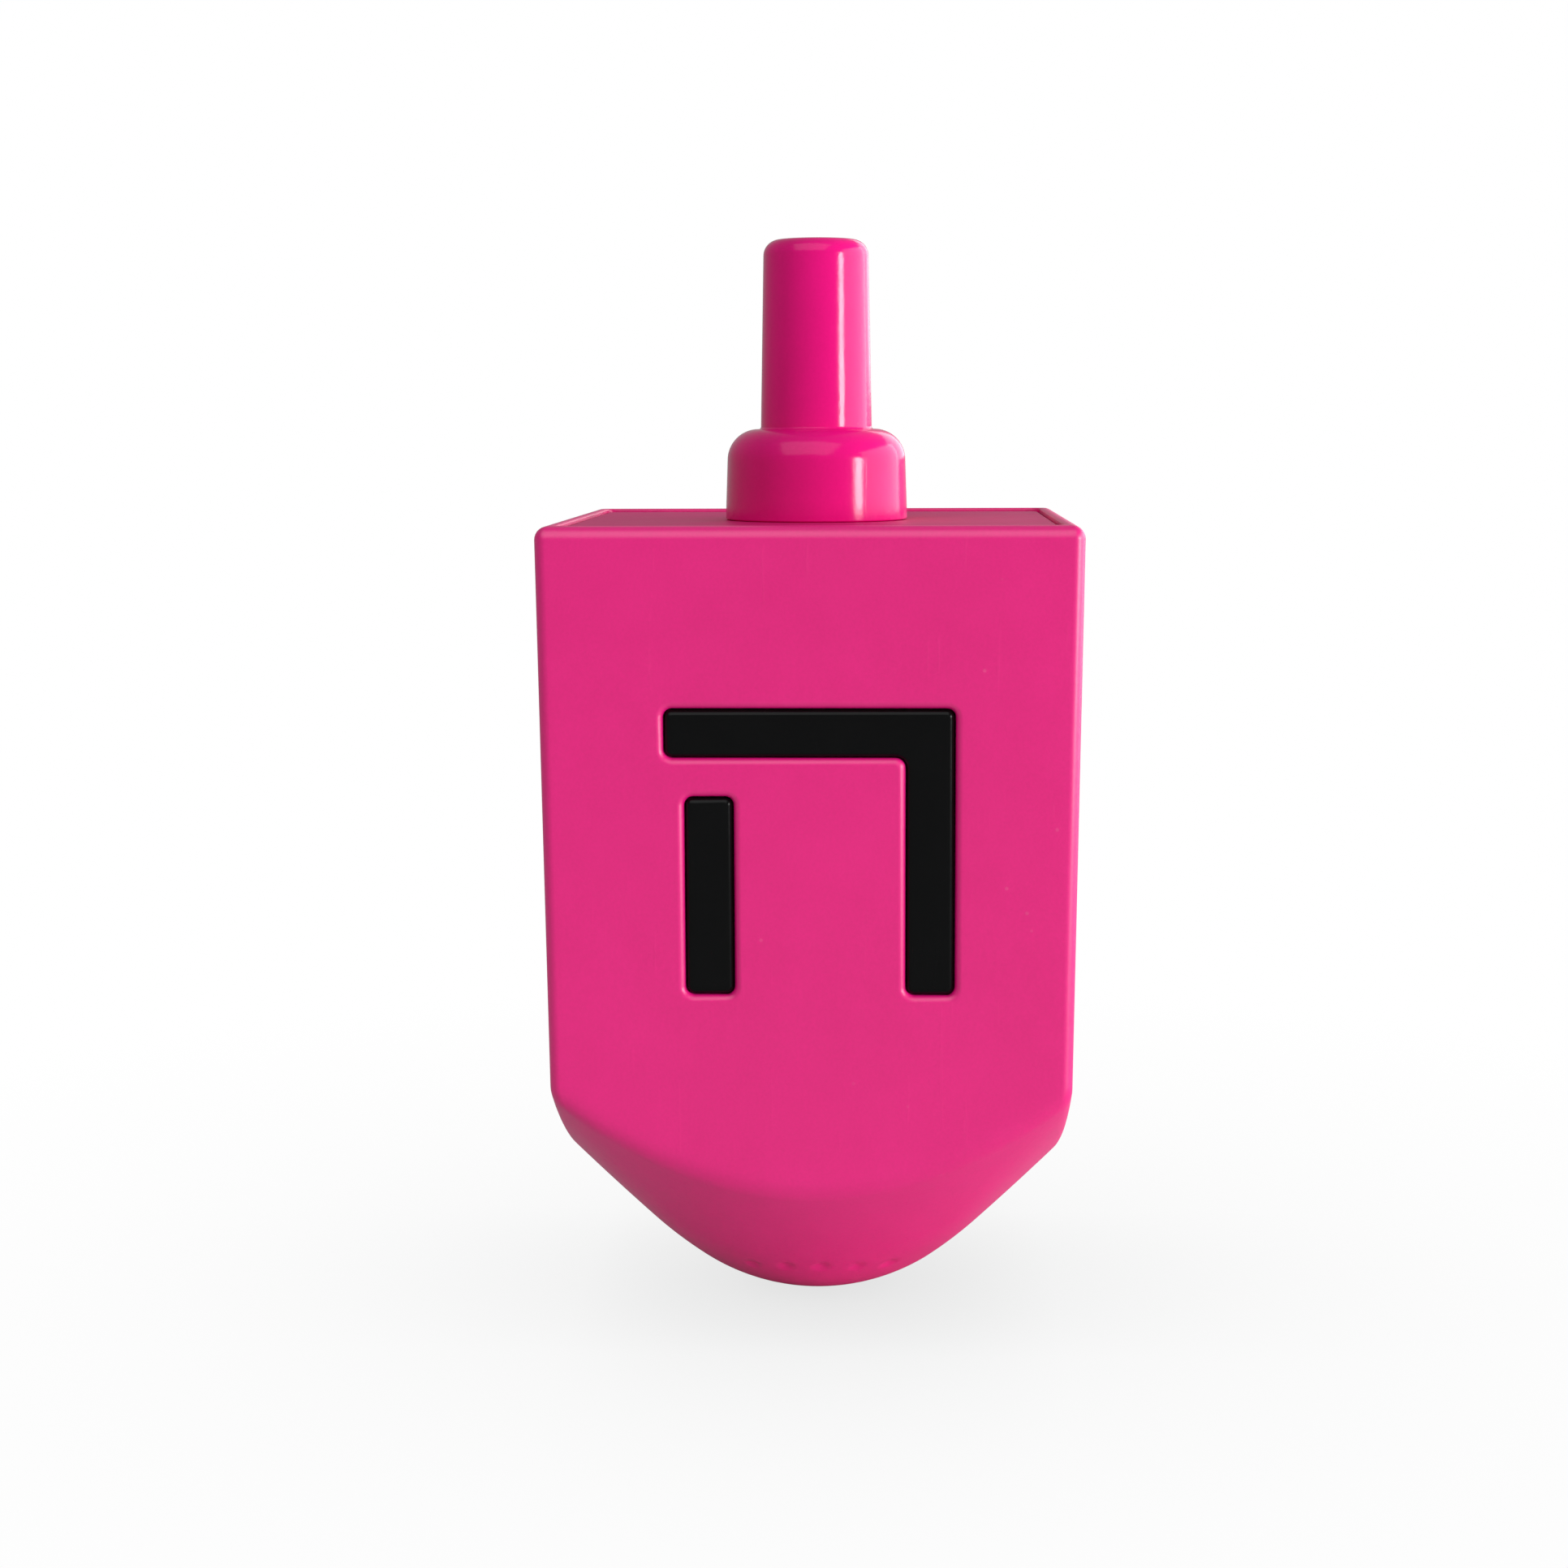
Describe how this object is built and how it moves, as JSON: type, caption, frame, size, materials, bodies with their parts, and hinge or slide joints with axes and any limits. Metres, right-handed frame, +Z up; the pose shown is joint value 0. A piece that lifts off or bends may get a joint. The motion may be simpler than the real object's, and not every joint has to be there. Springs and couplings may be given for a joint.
{
  "type": "dreidel",
  "caption": "Four-sided spinning top: hollow square body with inlaid letters and a pointed nose, closed by a lift-off cover with a collared finger stem.",
  "frame": {"origin": "the tip that the top spins on", "axes": "+Z up the spin axis towards the stem, -Y out of the front face, which carries the letter hei"},
  "size_m": [0.032, 0.032, 0.0671],
  "materials": {
    "pink_plastic": "satin to gloss moulded polystyrene, hot pink",
    "black_plastic": "satin moulded polystyrene, black",
    "zinc_steel": "bright zinc plate"
  },
  "bodies": {
    "body": {"body_shell": "pink_plastic", "nun_plate": "black_plastic", "gimel_plate": "black_plastic", "hei_plate": "black_plastic", "shin_plate": "black_plastic"},
    "cover": {"top_cover": "pink_plastic", "stem": "pink_plastic", "stem_screw": "zinc_steel"}
  },
  "joints": [
    {"name": "cover_lift", "type": "slide", "parent": "body", "child": "cover", "axis": [0, 0, 1], "range_m": [0, 0.025]}
  ]
}
